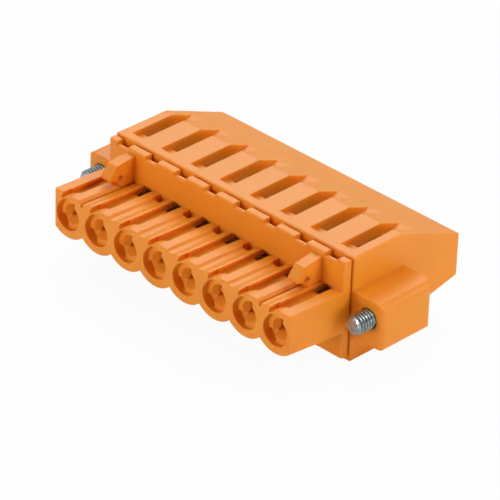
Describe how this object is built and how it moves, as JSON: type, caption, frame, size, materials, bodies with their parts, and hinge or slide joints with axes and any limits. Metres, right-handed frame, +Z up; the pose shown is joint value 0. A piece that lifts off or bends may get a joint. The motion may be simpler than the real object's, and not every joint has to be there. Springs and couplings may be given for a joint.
{
  "type": "pluggable terminal block",
  "caption": "Pluggable female terminal block with tension-clamp wire entries, top latches and captive slotted screws in side flanges.",
  "frame": {"origin": "centre of the bounding box's footprint, at the flat base of the rear housing", "axes": "+X along the pole row towards the right when looking at the finger fronts, +Y towards the wire side, +Z up"},
  "size_m": [0.0506, 0.029, 0.0144],
  "materials": {
    "housing": "moulded orange polyamide, satin",
    "screw": "zinc-plated steel",
    "contact": "tinned copper alloy",
    "spring": "bright stainless spring steel"
  },
  "bodies": {
    "housing": {"front_housing": "housing", "rear_housing": "housing", "contact_1": "contact", "contact_2": "contact", "contact_3": "contact", "contact_4": "contact", "contact_5": "contact", "contact_6": "contact", "contact_7": "contact", "contact_8": "contact"},
    "screw_left": {"flange_screw_left": "screw"},
    "screw_right": {"flange_screw_right": "screw"},
    "spring_1": {"clamp_spring_1": "spring"},
    "spring_2": {"clamp_spring_2": "spring"},
    "spring_3": {"clamp_spring_3": "spring"},
    "spring_4": {"clamp_spring_4": "spring"},
    "spring_5": {"clamp_spring_5": "spring"},
    "spring_6": {"clamp_spring_6": "spring"},
    "spring_7": {"clamp_spring_7": "spring"},
    "spring_8": {"clamp_spring_8": "spring"}
  },
  "joints": [
    {"name": "screw_left_turn", "type": "hinge", "parent": "housing", "child": "screw_left", "pos_m": [-0.02288, -0.00022, 0.0074], "axis": [0, 1, 0], "continuous": true},
    {"name": "screw_right_turn", "type": "hinge", "parent": "housing", "child": "screw_right", "pos_m": [0.02288, -0.00022, 0.0074], "axis": [0, 1, 0], "continuous": true},
    {"name": "clamp_1_open", "type": "hinge", "parent": "housing", "child": "spring_1", "pos_m": [-0.01778, -0.00113, 0.01075], "axis": [-1, 0, 0], "range_deg": [0, 22], "stiffness_Nm_per_rad": 0.12, "springref_deg": -17.19},
    {"name": "clamp_2_open", "type": "hinge", "parent": "housing", "child": "spring_2", "pos_m": [-0.0127, -0.00113, 0.01075], "axis": [-1, 0, 0], "range_deg": [0, 22], "stiffness_Nm_per_rad": 0.12, "springref_deg": -17.19},
    {"name": "clamp_3_open", "type": "hinge", "parent": "housing", "child": "spring_3", "pos_m": [-0.00762, -0.00113, 0.01075], "axis": [-1, 0, 0], "range_deg": [0, 22], "stiffness_Nm_per_rad": 0.12, "springref_deg": -17.19},
    {"name": "clamp_4_open", "type": "hinge", "parent": "housing", "child": "spring_4", "pos_m": [-0.00254, -0.00113, 0.01075], "axis": [-1, 0, 0], "range_deg": [0, 22], "stiffness_Nm_per_rad": 0.12, "springref_deg": -17.19},
    {"name": "clamp_5_open", "type": "hinge", "parent": "housing", "child": "spring_5", "pos_m": [0.00254, -0.00113, 0.01075], "axis": [-1, 0, 0], "range_deg": [0, 22], "stiffness_Nm_per_rad": 0.12, "springref_deg": -17.19},
    {"name": "clamp_6_open", "type": "hinge", "parent": "housing", "child": "spring_6", "pos_m": [0.00762, -0.00113, 0.01075], "axis": [-1, 0, 0], "range_deg": [0, 22], "stiffness_Nm_per_rad": 0.12, "springref_deg": -17.19},
    {"name": "clamp_7_open", "type": "hinge", "parent": "housing", "child": "spring_7", "pos_m": [0.0127, -0.00113, 0.01075], "axis": [-1, 0, 0], "range_deg": [0, 22], "stiffness_Nm_per_rad": 0.12, "springref_deg": -17.19},
    {"name": "clamp_8_open", "type": "hinge", "parent": "housing", "child": "spring_8", "pos_m": [0.01778, -0.00113, 0.01075], "axis": [-1, 0, 0], "range_deg": [0, 22], "stiffness_Nm_per_rad": 0.12, "springref_deg": -17.19}
  ]
}
